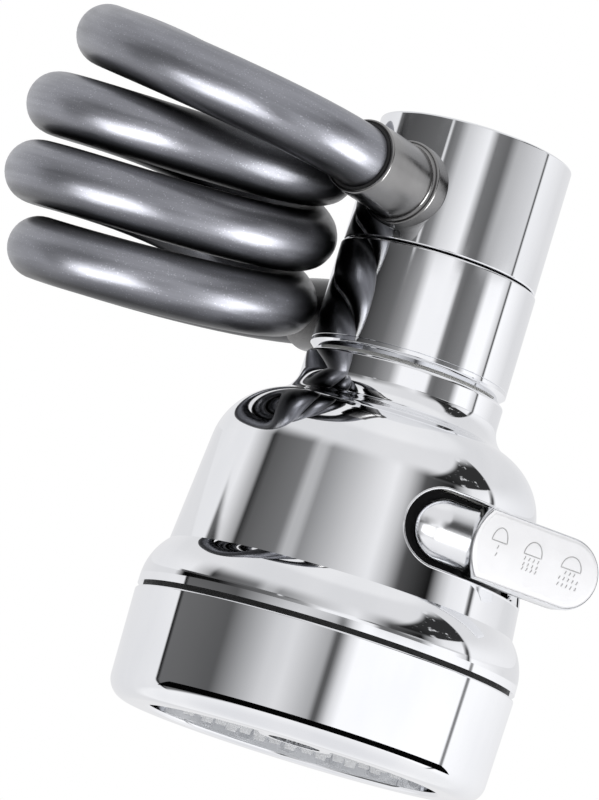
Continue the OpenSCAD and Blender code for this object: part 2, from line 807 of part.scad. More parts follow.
module face_ring() {
    low_r = ring_r - ring_draft;
    lip = 0.6;
    edge = 0.3;
    color("silver") turned(concat(
        [[ring_bore, spigot_top], [spigot_r, spigot_top], [spigot_r, ring_z],
         [ring_r - edge, ring_z], [ring_r, ring_z - edge]],
        arc([low_r - ring_edge, ring_end + ring_edge], ring_edge, 0, -90),
        arc([face_r + lip, ring_end + lip], lip, -90, -180),
        [[face_r, plate_z], [ring_bore, plate_z]]
    ));
}

module nozzle_places() {
    for (row = nozzle_rows, i = [0:row[1] - 1]) {
        rotate(360 * i / row[1]) translate([row[0], 0, 0]) children();
    }
}

module spray_face() {
    color("silver") difference() {
        translate([0, 0, plate_z]) cylinder(r = ring_bore - seat_gap, h = plate_t);
        translate([0, 0, plate_z - cut]) cylinder(r = aerator_r + seat_gap, h = plate_t + 2 * cut);
        nozzle_places() translate([0, 0, plate_z - cut])
            cylinder(r = nozzle_base_r + seat_gap, h = plate_t + 2 * cut);
    }
}

module spray_nozzles() {
    way_r = nozzle_r - 0.35;
    color("darkslategray") nozzle_places() rotate_extrude($fn = 24) polygon([
        [way_r, plate_z - nozzle_out], [way_r, plate_z + plate_t],
        [nozzle_base_r, plate_z + plate_t], [nozzle_base_r, plate_z], [nozzle_r, plate_z - nozzle_out]
    ]);
}

module aerator_insert() {
    rise = 5;
    edge = 0.4;
    foot = plate_z - aerator_out;
    color("silver") turned([
        [aerator_bore, plate_z + plate_t + rise], [aerator_r, plate_z + plate_t + rise],
        [aerator_r, foot + edge], [aerator_r - edge, foot],
        [aerator_bore - aerator_lip, foot], [aerator_bore - aerator_lip, foot + aerator_lip],
        [aerator_bore, foot + aerator_lip]
    ]);
}

module aerator_screen() {
    screen_t = 0.6;
    hole = 0.9;
    hole_h = 3 * screen_t;
    pitch = 1.35;
    r = aerator_bore - seat_gap;
    z = plate_z - aerator_out + aerator_lip + seat_gap;
    color("gray") difference() {
        translate([0, 0, z]) cylinder(r = r, h = screen_t);
        for (x = [-2:2], y = [-2:2]) {
            if (norm([x, y]) * pitch < r - 1) {
                translate([x * pitch, y * pitch, z]) cube([hole, hole, hole_h], center = true);
            }
        }
    }
}

adapter_shell();
faucet_thread_insert();
faucet_washer();
inlet_screen();
adapter_core();
dock_magnet();
upper_hose_socket();
upper_port_o_ring();
upper_hose_ferrule();
upper_hose_seal();
coiled_hose();
neck_sleeve();
neck_collar();
dock_plate();
dock_spigot();
neck_core();
neck_o_ring();
lower_hose_socket();
lower_port_o_ring();
lower_hose_ferrule();
lower_hose_seal();
bell_housing();
valve_body();
detent_spring();
detent_ball();
selector_pivot();
selector_carrier();
mode_lever();
selector_seals();
distributor_plate();
spray_chamber();
face_gasket();
face_ring();
spray_face();
spray_nozzles();
aerator_insert();
aerator_screen();
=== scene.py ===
"""Faucet pull-out sprayer: chrome adapter and handset, coiled hose, and a three-way spray lever.

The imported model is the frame. Lengths below are in millimetres unless a name says otherwise, and each mesh is
scaled to metres when it is made. Profiles are (radius, height) outlines, walked with the solid on the left.
"""

import json
import math

import bmesh
import bpy
import numpy as np
from mathutils import Matrix, Vector


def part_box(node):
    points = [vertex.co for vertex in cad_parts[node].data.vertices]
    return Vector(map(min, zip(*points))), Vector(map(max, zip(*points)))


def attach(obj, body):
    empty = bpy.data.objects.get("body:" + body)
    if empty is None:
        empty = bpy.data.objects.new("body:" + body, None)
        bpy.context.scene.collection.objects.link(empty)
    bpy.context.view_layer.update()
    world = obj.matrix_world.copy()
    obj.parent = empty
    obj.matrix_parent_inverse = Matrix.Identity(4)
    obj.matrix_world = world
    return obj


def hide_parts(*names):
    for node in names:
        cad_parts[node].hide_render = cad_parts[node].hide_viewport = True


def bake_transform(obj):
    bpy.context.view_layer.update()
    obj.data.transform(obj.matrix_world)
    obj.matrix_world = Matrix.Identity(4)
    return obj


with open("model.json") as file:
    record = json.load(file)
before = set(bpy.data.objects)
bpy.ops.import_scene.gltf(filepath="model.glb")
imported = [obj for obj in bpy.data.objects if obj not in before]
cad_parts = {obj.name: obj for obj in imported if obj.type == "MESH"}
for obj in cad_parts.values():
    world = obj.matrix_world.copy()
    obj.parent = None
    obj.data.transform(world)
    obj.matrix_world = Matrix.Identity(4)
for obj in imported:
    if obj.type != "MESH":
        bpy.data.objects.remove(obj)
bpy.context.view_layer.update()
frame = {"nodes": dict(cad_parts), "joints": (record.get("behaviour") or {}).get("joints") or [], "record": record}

MM = 0.001
MIRROR = 0.85         # how much light the chrome gives back
DISPLAY_GAMMA = 2.2
AROUND = 256          # sides of a turned piece
ARC_STEP = 4.0        # degrees between two points of a profile's round
PAINTED_SHADE_REACH = 40        # how near things must be to paint shade on the hose and its sockets


def box(node):
    """A CAD node's lowest and highest corner, in millimetres."""
    low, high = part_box(node)
    return low / MM, high / MM


# ---- Sizes read from the frame ----
ADAPTER_LOW, ADAPTER_HIGH = box("adapter_shell")
ADAPTER_R = ADAPTER_HIGH.x
ADAPTER_Z = ADAPTER_LOW.z
THREAD_LOW, THREAD_HIGH = box("faucet_thread_insert")
CORE_R = THREAD_HIGH.x
WASHER_Z = THREAD_LOW.z
THREAD_R = frame["record"]["mounts"][0]["dims"]["r_mm"]
SLEEVE_LOW, SLEEVE_HIGH = box("neck_sleeve")
SLEEVE_R = SLEEVE_HIGH.x
SLEEVE_TOP, COLLAR_Z = SLEEVE_HIGH.z, SLEEVE_LOW.z
GROOVE_Z = box("neck_collar")[0].z
BELL_LOW, BELL_HIGH = box("bell_housing")
BELL_Z, MOUTH_Z, MOUTH_R = BELL_HIGH.z, BELL_LOW.z, BELL_HIGH.x
RING_LOW, RING_HIGH = box("face_ring")
RING_R, RING_END = RING_HIGH.x, RING_LOW.z
FACE_LOW, FACE_HIGH = box("spray_face")
PLATE_Z, PLATE_R = FACE_LOW.z, FACE_HIGH.x
CARRIER_R = box("selector_carrier")[1].y
JOINTS = {j["name"]: j for j in frame["joints"]}
LEVER_Z = JOINTS["mode_select"]["pos_m"][2] / MM
PORT_Z = JOINTS["handset_pull"]["deforming_nodes"][0]["fixed_end_z_m"] / MM

# ---- Shapes that the frame doesn't give, as in part.scad ----
SEAT_GAP = 0.05       # between pieces that seat on each other
ADAPTER_WALL = 1.6
ADAPTER_EDGE = 0.3    # sharper than in part.scad, as the photograph shows
BELL_NECK_R = SLEEVE_R + 0.1
BELL_WALL = 1.8
NECK_FILLET = 4.0     # rounder than in part.scad: it runs on into the neck as one soft hollow
SHOULDER_R = 10.3
FLARE_OUT = 3.9
BODY_R = MOUTH_R - FLARE_OUT
BODY_TAPER = 5.0
BODY_H = 16.2
FLARE_ROUND = 8.9
MOUTH_BAND = 1.1
RING_DRAFT = 0.35
RING_EDGE = 3.2
FACE_LAND = 6.75
FACE_R = RING_R - FACE_LAND
SLOT_H = 11.3
SLOT_FROM, SLOT_TO = 11.5, 96.0     # degrees from the front to the right, and so is LEVER_AT
LEVER_AT = 23.2
PADDLE_ROOM, NECK_ROOM = 0.5, 1.2   # over and under them in the slot
PADDLE_HALF = SLOT_H / 2 - PADDLE_ROOM
NECK_HALF = SLOT_H / 2 - NECK_ROOM
PADDLE_T = 3.1
PAD_BEVEL = 0.9
PADDLE_X = CARRIER_R + SEAT_GAP
PAD_X = PADDLE_X + PADDLE_T
PADDLE_REACH = 25.8   # from the lever's root to the paddle's tip
TIP_Y = PADDLE_REACH - PADDLE_HALF
NECK_Y = 1.8
NECK_END = 6.7
NECK_BULGE_R = 5.5
NECK_PROUD = 0.2
NECK_FRONT = PAD_X + NECK_PROUD
PAD_Y = 5.1
PAD_ROUND = 8.0
HOSE_OD = 9.1
HOSE_ROOM = 0.2       # round the hose in a socket
SOCKET_LEN = 12.8
SOCKET_WALL = 0.75
FLANGE_OUT, FLANGE_T = 0.8, 1.6
PORT_ANGLE = 55.0     # from the left side to each hose port, to the front and to the back
LOWER_PORT_DROP = 0.55    # from the sleeve's middle down to the lower port
LOWER_Z = (SLEEVE_TOP + COLLAR_Z) / 2 - LOWER_PORT_DROP


# ---- Materials ----

def new_material(name):
    """An empty node material with its principled shader."""
    material = bpy.data.materials.new(name)
    material.use_nodes = True
    return material, material.node_tree, material.node_tree.nodes["Principled BSDF"]


def add(tree, kind, links=(), **values):
    """A shader node. links pairs its inputs with sockets or plain values. values set its own properties."""
    node = tree.nodes.new(kind)
    for key, value in values.items():
        setattr(node, key, value)
    for socket, source in links:
        if isinstance(source, bpy.types.NodeSocket):
            tree.links.new(source, node.inputs[socket])
        else:
            node.inputs[socket].default_value = source
    return node


def maths(tree, operation, *inputs):
    """A sum of sockets or plain numbers."""
    return add(tree, "ShaderNodeMath", enumerate(inputs), operation=operation).outputs[0]


def mix(tree, factor, a, b):
    """The colour that a factor picks from a to b."""
    return add(tree, "ShaderNodeMix", [("Factor", factor), ("A", a), ("B", b)],
               data_type="RGBA").outputs["Result"]


def noise(tree, scale, detail, stretch=(1, 1, 1), place=None):
    """Noise in object space, where scale counts features per metre, or in another space."""
    if place is None:
        place = add(tree, "ShaderNodeTexCoord").outputs["Object"]
    mapping = add(tree, "ShaderNodeMapping", [("Vector", place), ("Scale", stretch)])
    return add(tree, "ShaderNodeTexNoise", [("Vector", mapping.outputs["Vector"]), ("Scale", scale),
                                            ("Detail", detail)]).outputs["Fac"]


def spread(tree, factor, low, high, start=0.3, end=0.7):
    """Maps a factor to a value between low and high."""
    return add(tree, "ShaderNodeMapRange", [("Value", factor), ("From Min", start), ("From Max", end),
                                            ("To Min", low), ("To Max", high)]).outputs["Result"]


def tint(tree, factor, dark, light):
    """A colour between a dark and a light one, by a factor of noise."""
    return mix(tree, spread(tree, factor, 0.0, 1.0), (*dark, 1), (*light, 1))


def darken(tree, colour, shade):
    """A colour times a factor."""
    return add(tree, "ShaderNodeVectorMath", [(0, colour), (1, shade)], operation="MULTIPLY").outputs[0]


def bump(tree, height, strength, distance):
    """A normal that this height bends, over a distance in metres."""
    return add(tree, "ShaderNodeBump", [("Height", height), ("Strength", strength),
                                        ("Distance", distance)]).outputs["Normal"]


def feed(tree, shader, colour, rough, normal):
    """Feeds a shader with its colour, roughness and normal."""
    for socket, source in (("Base Color", colour), ("Roughness", rough), ("Normal", normal)):
        tree.links.new(source, shader.inputs[socket])


def chrome(name, rough):
    """Polished plating: faint smears in its tone and roughness, and a slight swim in its reflections."""
    material, tree, shader = new_material(name)
    shader.inputs["Metallic"].default_value = 1.0
    colour = tint(tree, noise(tree, 90, 4, (1, 1, 0.35)), (0.80, 0.81, 0.83), (0.88, 0.885, 0.90))
    feed(tree, shader, colour, spread(tree, noise(tree, 240, 5), *rough),
         bump(tree, noise(tree, 60, 2), 0.25, 0.00002))
    return material


def painted_nook_shade(tree, low, high):
    """Painted shade in nooks: a factor that falls to nearly nothing where things within the reach set at the top
    shut the surface in. It does so as the open air round the surface goes down from high to low."""
    air = add(tree, "ShaderNodeAmbientOcclusion", [("Distance", PAINTED_SHADE_REACH * MM)], samples=8).outputs["AO"]
    return spread(tree, air, 0.02, 1.0, low, high)


def satin_metal(name, dark, light, rough, metallic=1.0, shade=None):
    """Satin metal with a fine grain and uneven tone. shade, if given, holds the low and high of painted shade
    where nearby pieces shut the surface in.
    """
    material, tree, shader = new_material(name)
    shader.inputs["Metallic"].default_value = metallic
    colour = tint(tree, noise(tree, 160, 4), dark, light)
    if shade:
        # painted shade: the colour darkens where nearby pieces shut the surface in
        colour = darken(tree, colour, painted_nook_shade(tree, *shade))
    feed(tree, shader, colour, spread(tree, noise(tree, 500, 4), *rough),
         bump(tree, noise(tree, 1400, 3), 0.15, 0.00003))
    return material


def plain(name, dark, light, rough, grain=900, depth=0.00005, shine=0.5):
    """Moulded plastic or rubber: mottled tone and a fine grain."""
    material, tree, shader = new_material(name)
    shader.inputs["Specular IOR Level"].default_value = shine
    feed(tree, shader, tint(tree, noise(tree, 220, 4), dark, light),
         spread(tree, noise(tree, 420, 3), *rough), bump(tree, noise(tree, grain, 2), 0.2, depth))
    return material


def hose_material():
    """Graphite-grey hose: a soft metallic sheen, rub marks along its length and fine specks. Shade is painted into
    its colour: it is darker where its turns shut it in, and on its underside."""
    material, tree, shader = new_material("graphite_hose")
    shader.inputs["Metallic"].default_value = 0.8
    lay = add(tree, "ShaderNodeAttribute", attribute_name="lay").outputs["Vector"]

    def marks(scale, detail, along):
        """Noise in the hose's own lay, in millimetres, and stretched along it."""
        return noise(tree, scale, detail, (along, 1, 1), lay)

    patches = tint(tree, marks(0.12, 3, 0.5), (0.205, 0.21, 0.232), (0.295, 0.30, 0.33))
    normal = add(tree, "ShaderNodeNewGeometry").outputs["Normal"]
    facing = add(tree, "ShaderNodeSeparateXYZ", [("Vector", normal)])
    shade = spread(tree, marks(1.1, 4, 0.05), 0.86, 1.10)
    specks = spread(tree, marks(5.0, 0, 1), 1.0, 1.5, 0.70, 0.78)
    # painted shade: darker the more the surface faces down
    painted_underside_shade = spread(tree, facing.outputs["Z"], 0.12, 1.0, -0.9, -0.5)
    # rub marks and specks, times painted shade in the nooks between turns and on the underside
    for other in (specks, painted_nook_shade(tree, 0.25, 0.78), painted_underside_shade):
        shade = maths(tree, "MULTIPLY", shade, other)
    feed(tree, shader, darken(tree, patches, shade), spread(tree, marks(0.8, 3, 0.2), 0.29, 0.37),
         bump(tree, marks(2.5, 3, 0.6), 0.25, 0.00005))
    return material


CHROME = chrome("polished_chrome", (0.02, 0.05))
SOFT_CHROME = chrome("soft_chrome", (0.15, 0.20))
PAD = satin_metal("satin_pad", (0.82, 0.82, 0.83), (0.87, 0.87, 0.88), (0.28, 0.38), metallic=0.4)
# the hose sockets' gunmetal, with painted shade where the hose and shell close round it
GUNMETAL = satin_metal("gunmetal", (0.245, 0.242, 0.24), (0.305, 0.302, 0.30), (0.18, 0.27),
                       shade=(0.45, 0.8))
STEEL = satin_metal("plain_steel", (0.50, 0.50, 0.50), (0.62, 0.62, 0.61), (0.25, 0.4))
BRASS = satin_metal("turned_brass", (0.62, 0.45, 0.20), (0.78, 0.60, 0.31), (0.18, 0.32))
MAGNET = satin_metal("plated_magnet", (0.32, 0.32, 0.33), (0.42, 0.42, 0.43), (0.2, 0.35))
BLACK = plain("black_plastic", (0.004, 0.004, 0.004), (0.008, 0.008, 0.009), (0.45, 0.6), shine=0.12)
RUBBER = plain("black_rubber", (0.010, 0.010, 0.010), (0.025, 0.025, 0.026), (0.55, 0.75))
WHITE = plain("white_plastic", (0.72, 0.72, 0.69), (0.80, 0.80, 0.77), (0.35, 0.5))
SILICONE = plain("white_silicone", (0.74, 0.75, 0.76), (0.84, 0.85, 0.86), (0.3, 0.45))
HOSE = hose_material()

SLOT_MATERIALS = {
    "chrome_shell": CHROME, "chrome_lever": CHROME, "chrome_face": CHROME, "gunmetal": GUNMETAL,
    "brass": BRASS, "steel": STEEL, "mesh": STEEL, "magnet": MAGNET, "seal": RUBBER, "hose": HOSE,
    "body_plastic": WHITE, "dark_plastic": BLACK, "nozzle": SILICONE,
}


def dress(piece, material):
    """Gives a piece this material alone."""
    piece.data.materials.clear()
    piece.data.materials.append(material)


def dress_frame():
    """Gives each CAD node the material of its slot."""
    for row in frame["record"]["subparts"]:
        dress(frame["nodes"][row["node"]], SLOT_MATERIALS[row["material_slot"]])


# ---- Profiles ----

def line(p, q):
    """A straight stretch of profile: its points and the normals on its right."""
    d = np.subtract(q, p) / np.linalg.norm(np.subtract(q, p))
    return [(tuple(p), (d[1], -d[0])), (tuple(q), (d[1], -d[0]))]


def arc(centre, radius, start, end):
    """A round stretch of profile, from one angle in degrees to another."""
    steps = max(2, math.ceil(abs(end - start) / ARC_STEP))
    side = 1 if end > start else -1
    points = []
    for i in range(steps + 1):
        a = math.radians(start + (end - start) * i / steps)
        c, s = math.cos(a), math.sin(a)
        points.append(((centre[0] + radius * c, centre[1] + radius * s), (side * c, side * s)))
    return points


def closed(*stretches):
    """Joins stretches into a closed outline, with straight runs where one ends short of the next."""
    outline = []
    for i, part in enumerate(stretches):
        outline.append(part)
        start = stretches[(i + 1) % len(stretches)][0][0]
        end = part[-1][0]
        if math.dist(end, start) > 1e-6:
            outline.append(line(end, start))
    return outline


def corner(*points):
    """Straight runs through these points."""
    return [line(p, q) for p, q in zip(points, points[1:])]


# ---- Meshes ----

def finish_mesh(name, vertices, faces, normals=None):
    """A mesh object from points in millimetres, with a normal for each face corner if they are given."""
    mesh = bpy.data.meshes.new(name)
    mesh.from_pydata([Vector(v) * MM for v in vertices], [], faces)
    mesh.update(calc_edges=True)
    mesh.shade_smooth()
    if normals is not None:
        mesh.normals_split_custom_set([tuple(n) for n in normals])
    piece = bpy.data.objects.new(name, mesh)
    bpy.context.scene.collection.objects.link(piece)
    return piece


def lathe(name, outline, around=AROUND, place=None):
    """Turns a closed outline round Z, with exact normals. place then moves the result."""
    turn = [(math.cos(2 * math.pi * k / around), math.sin(2 * math.pi * k / around)) for k in range(around)]
    vertices, faces, normals, rings = [], [], [], {}

    def ring(point):
        """The indices of this point's ring of vertices, made at its first use."""
        key = (round(point[0], 6), round(point[1], 6))
        if key not in rings:
            first = len(vertices)
            if key[0] == 0:
                vertices.append(Vector((0, 0, point[1])))
                rings[key] = [first] * around
            else:
                vertices.extend(Vector((point[0] * c, point[0] * s, point[1])) for c, s in turn)
                rings[key] = range(first, first + around)
        return rings[key]

    for stretch in outline:
        for (p, n), (q, m) in zip(stretch, stretch[1:]):
            if max(p[0], q[0]) < 1e-6:
                continue
            low, high = ring(p), ring(q)
            for k in range(around):
                j = (k + 1) % around
                corners = [(low[k], n, k), (low[j], n, j), (high[j], m, j), (high[k], m, k)]
                if low[0] == low[1]:
                    corners.pop(1)
                elif high[0] == high[1]:
                    corners.pop(2)
                faces.append([vertex for vertex, _, _ in corners])
                for _, (out, up), i in corners:
                    normals.append(Vector((out * turn[i][0], out * turn[i][1], up)))
    if place is not None:
        vertices = [place @ v for v in vertices]
        spin = place.to_3x3()
        normals = [spin @ n for n in normals]
    return finish_mesh(name, vertices, faces, normals)


def loft(name, rings, place, loop=True, smooth=35):
    """Joins rings of matching points and closes the ends. Points that meet are merged."""
    bm = bmesh.new()
    count = len(rings[0])
    rows = [[bm.verts.new((place @ Vector(p)) * MM) for p in ring] for ring in rings]
    for low, high in zip(rows, rows[1:]):
        for k in range(count if loop else count - 1):
            j = (k + 1) % count
            bm.faces.new((low[k], low[j], high[j], high[k]))
    if loop:
        bm.faces.new(rows[0][::-1])
        bm.faces.new(rows[-1])
    else:
        bm.faces.new([row[0] for row in rows] + [row[-1] for row in rows[::-1]])
    bmesh.ops.remove_doubles(bm, verts=bm.verts, dist=1e-6)
    bmesh.ops.dissolve_degenerate(bm, edges=bm.edges, dist=1e-7)
    bmesh.ops.recalc_face_normals(bm, faces=bm.faces)
    mesh = bpy.data.meshes.new(name)
    bm.to_mesh(mesh)
    bm.free()
    mesh.shade_smooth()
    mesh.set_sharp_from_angle(angle=math.radians(smooth))
    piece = bpy.data.objects.new(name, mesh)
    bpy.context.scene.collection.objects.link(piece)
    return piece


def radial(angle, z):
    """Puts +Z along the radius at this angle from +X, at height z."""
    a = math.radians(angle)
    out = Vector((math.cos(a), math.sin(a), 0))
    side = Vector((-math.sin(a), math.cos(a), 0))
    matrix = Matrix((side, Vector((0, 0, 1)), out)).transposed().to_4x4()
    return Matrix.Translation((0, 0, z)) @ matrix


def apply_modifiers(piece):
    """Replaces the piece's mesh by the result of its modifiers."""
    bpy.context.view_layer.update()
    done = piece.evaluated_get(bpy.context.evaluated_depsgraph_get())
    mesh = bpy.data.meshes.new_from_object(done)
    piece.modifiers.clear()
    piece.data = mesh


def cut(piece, cutter):
    """Takes the cutter's volume out of the piece."""
    modifier = piece.modifiers.new("cut", "BOOLEAN")
    modifier.operation = "DIFFERENCE"
    modifier.solver = "EXACT"
    modifier.object = cutter
    apply_modifiers(piece)
    bpy.data.objects.remove(cutter)


def turned_normals(piece, outline):
    """Sets exact normals again on the turned faces of a piece that was cut."""
    step, near, alike = 0.1, 0.12, 0.9
    samples = []
    for stretch in outline:
        for (p, n), (q, m) in zip(stretch, stretch[1:]):
            steps = max(1, math.ceil(math.dist(p, q) / step))
            for i in range(steps + 1):
                u = i / steps
                samples.append([p[0] + (q[0] - p[0]) * u, p[1] + (q[1] - p[1]) * u,
                                n[0] + (m[0] - n[0]) * u, n[1] + (m[1] - n[1]) * u])
    samples = np.array(samples)
    mesh = piece.data
    normals = []
    for face in mesh.polygons:
        flat = face.normal
        for v in face.vertices:
            co = mesh.vertices[v].co / MM
            r = math.hypot(co.x, co.y)
            c, s = (co.x / r, co.y / r) if r > 1e-6 else (1, 0)
            facing = samples[:, 2] * (flat.x * c + flat.y * s) + samples[:, 3] * flat.z
            far = np.hypot(samples[:, 0] - r, samples[:, 1] - co.z)
            far[facing < alike] = np.inf
            best = int(far.argmin())
            if far[best] < near:
                n = samples[best]
                normals.append(Vector((n[2] * c, n[2] * s, n[3])).normalized())
            else:
                normals.append(flat.copy())
    mesh.shade_smooth()
    mesh.normals_split_custom_set(normals)


def ride_as(piece, material, body, slot, *nodes):
    """Finishes a piece: its material, the body that carries it, and the CAD nodes it stands for, which it hides.
    slot is not used.
    """
    dress(piece, material)
    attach(piece, body)
    if nodes:
        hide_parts(*nodes)
    return piece


# ---- Camera ----

def make_camera():
    """The photograph's view: a long lens from below the front, rolled so that the sprayer leans."""
    target = Vector((-13.6, 0, -43.07)) * MM
    place = Vector((-13.6, -610.7, -131.07)) * MM
    roll = math.radians(17.15)
    ahead = (target - place).normalized()
    up = (Vector((0, 0, 1)) - ahead * ahead.z).normalized()
    right = ahead.cross(up)
    x_axis = math.cos(roll) * right + math.sin(roll) * up
    y_axis = math.cos(roll) * up - math.sin(roll) * right
    data = bpy.data.cameras.new("camera")
    data.lens = 194
    data.sensor_width = 36
    data.clip_start = 0.01
    data.clip_end = 20
    camera = bpy.data.objects.new("camera", data)
    camera.matrix_world = Matrix.Translation(place) @ Matrix((x_axis, y_axis, -ahead)).transposed().to_4x4()
    bpy.context.scene.collection.objects.link(camera)
    bpy.context.scene.camera = camera


# ---- Hose ----
COIL_GAP = 1.1
COIL_R = 19.9
COIL_CLEAR = 0.5
COIL_UP = 12.6        # from the upper port up to where the count of turns starts
COIL_TILT = 5.0
COIL_FROM, COIL_TO = 0.5, 3.5
END_TURN = 0.5        # how much of a turn the coil's narrower ends take
FIRST_NARROWER = 4.0
FIRST_RISE = 1.3
LAST_NARROWER = 3.7
BACK_RISE = 2.0
LEAN_FIRST, LEAN_LOSS = 1.85, 0.25    # how far the turns lean sideways, and how much less after each
TILT_LOSS = 0.25                      # the same for COIL_TILT, from back to front
UPPER_PORT_REACH, UPPER_TURN_REACH = 20, 25
LOWER_PORT_REACH, LOWER_TURN_REACH = 28, 28
COIL_PITCH = HOSE_OD + COIL_GAP
COIL_X = -(SLEEVE_R + COIL_CLEAR + HOSE_OD / 2 + COIL_R)
COIL_Z = PORT_Z + COIL_UP
COIL_STEPS = 48
LEAD_STEPS = 24
SOCKET_STEPS = 4
HOSE_SIDES = 40


def ease(x):
    """A soft step from 0 to 1."""
    u = min(max(x, 0), 1)
    return u * u * (3 - 2 * u)


def coil_point(t):
    """A point of the coil after t turns, counted from the side that faces the neck."""
    a = 2 * math.pi * t
    first = ease((COIL_FROM - t) / END_TURN + 1)
    last = ease((t - COIL_TO) / END_TURN + 1)
    r = COIL_R - FIRST_NARROWER * first - LAST_NARROWER * last
    z = COIL_Z + FIRST_RISE * first - COIL_PITCH * t
    z -= (LEAN_FIRST - LEAN_LOSS * t) * math.cos(a)
    z += BACK_RISE * max(-math.sin(a), 0) ** 2 - (COIL_TILT - TILT_LOSS * t) * math.sin(a)
    return Vector((COIL_X + r * math.cos(a), -r * math.sin(a), z))


def bezier(a, b, c, d, u):
    """A point of the curve from a to d, with its handles at b and c."""
    return (1 - u) ** 3 * a + 3 * (1 - u) ** 2 * u * b + 3 * (1 - u) * u * u * c + u ** 3 * d


def port_point(angle, z, s):
    """A point s from the sprayer's axis, at this angle from +X and this height."""
    a = math.radians(angle)
    return Vector((s * math.cos(a), s * math.sin(a), z))


def hose_route():
    """From inside the upper socket, round the coil and into the lower socket, in millimetres."""
    upper, lower = 180 + PORT_ANGLE, 180 - PORT_ANGLE
    upper_mouth, lower_mouth = ADAPTER_R + SOCKET_LEN, SLEEVE_R + SOCKET_LEN
    nudge = 0.01
    start, end = coil_point(COIL_FROM), coil_point(COIL_TO)
    start_dir = (coil_point(COIL_FROM + nudge) - start).normalized()
    end_dir = (end - coil_point(COIL_TO - nudge)).normalized()
    route = [port_point(upper, PORT_Z, upper_mouth - HOSE_OD * (1 - i / SOCKET_STEPS))
             for i in range(SOCKET_STEPS)]
    route += [bezier(port_point(upper, PORT_Z, upper_mouth),
                     port_point(upper, PORT_Z, upper_mouth + UPPER_PORT_REACH),
                     start - start_dir * UPPER_TURN_REACH, start, i / LEAD_STEPS) for i in range(LEAD_STEPS)]
    route += [coil_point(COIL_FROM + i / COIL_STEPS) for i in range(int(COIL_STEPS * (COIL_TO - COIL_FROM)))]
    route += [bezier(end, end + end_dir * LOWER_TURN_REACH,
                     port_point(lower, LOWER_Z, lower_mouth + LOWER_PORT_REACH),
                     port_point(lower, LOWER_Z, lower_mouth), i / LEAD_STEPS) for i in range(LEAD_STEPS + 1)]
    route += [port_point(lower, LOWER_Z, lower_mouth - HOSE_OD * i / SOCKET_STEPS)
              for i in range(1, SOCKET_STEPS + 1)]
    return route


def tube(name, route, radius, sides, loop=False):
    """A round tube along a route, with its frame carried along without twist. A loop joins up with itself."""
    vertices, faces, lay = [], [], []
    count = len(route)
    last = count - 1
    side, at = None, 0.0
    for i, point in enumerate(route):
        after = route[(i + 1) % count] if loop else route[min(i + 1, last)]
        before = route[i - 1] if loop else route[max(i - 1, 0)]
        ahead = (after - before).normalized()
        if side is None:
            side = ahead.cross(Vector((0, 0, 1)) if abs(ahead.z) < 0.9 else Vector((1, 0, 0))).normalized()
        side = (side - ahead * side.dot(ahead)).normalized()
        up = side.cross(ahead)
        at += (point - route[i - 1]).length if i else 0
        for k in range(sides):
            a = 2 * math.pi * k / sides
            vertices.append(point + radius * (math.cos(a) * up + math.sin(a) * side))
            lay.append((at, radius * math.cos(a), radius * math.sin(a)))
    for i in range(count if loop else last):
        j = (i + 1) % count
        for k in range(sides):
            n = (k + 1) % sides
            faces.append([i * sides + k, i * sides + n, j * sides + n, j * sides + k])
    if not loop:
        faces.append(list(range(sides))[::-1])
        faces.append([last * sides + k for k in range(sides)])
    piece = finish_mesh(name, vertices, faces)
    marks = piece.data.attributes.new("lay", "FLOAT_VECTOR", "POINT")
    marks.data.foreach_set("vector", [c for v in lay for c in v])
    return piece


def make_hose():
    """The whole hose as one tube."""
    route = hose_route()
    hose = tube("coiled_hose_tube", route, HOSE_OD / 2, HOSE_SIDES)
    dress(hose, HOSE)
    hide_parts("coiled_hose")
    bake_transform(hose)


# ---- Adapter ----
THREAD_PITCH = 1.6
THREAD_IN = 0.55


def adapter_outline():
    """The adapter's shell: a plain tube with softened edges."""
    bore = ADAPTER_R - ADAPTER_WALL
    edge = ADAPTER_EDGE
    foot = 0.25
    return closed(
        corner((ADAPTER_R, ADAPTER_Z + foot), (ADAPTER_R, -edge))[0],
        arc((ADAPTER_R - edge, -edge), edge, 0, 90),
        *corner((ADAPTER_R - edge, 0), (bore, 0), (bore, ADAPTER_Z), (ADAPTER_R - foot, ADAPTER_Z)),
        arc((ADAPTER_R - foot, ADAPTER_Z + foot), foot, -90, 0),
    )


def thread_outline():
    """The brass insert, with the ridges of its thread cut as rings."""
    ridges = []
    z, end = -0.7, WASHER_Z + 0.5
    while z - THREAD_PITCH > end:
        ridges += [(THREAD_R, z), (THREAD_R + THREAD_IN, z - THREAD_PITCH / 2)]
        z -= THREAD_PITCH
    ridges.append((THREAD_R, z))
    chamfer = 0.5
    return closed(*corner((CORE_R, WASHER_Z), (CORE_R, 0), (THREAD_R + chamfer, 0), *ridges,
                          (THREAD_R, WASHER_Z)))


def socket_outline(shell_r):
    """Half a section of a hose socket: height runs out from the sprayer's axis."""
    wider, sunk = 0.1, 1.2
    bore = HOSE_OD / 2 + HOSE_ROOM
    outer = bore + SOCKET_WALL
    flange = outer + FLANGE_OUT
    start, rim = shell_r - sunk, shell_r + FLANGE_T
    mouth = shell_r + SOCKET_LEN
    floor = mouth - HOSE_OD - HOSE_ROOM
    lip, round_r = 0.3, 0.35
    hollow = flange - round_r - outer
    return closed(
        line((flange, start), (flange, rim - round_r)),
        arc((flange - round_r, rim - round_r), round_r, 0, 90),
        arc((outer + hollow, rim + hollow), hollow, 270, 180),
        line((outer, rim + hollow), (outer, mouth - lip)),
        arc((outer - lip, mouth - lip), lip, 0, 90),
        *corner((bore + wider, mouth), (bore + wider, floor), (0, floor)),
        *corner((0, start), (flange, start)),
    )


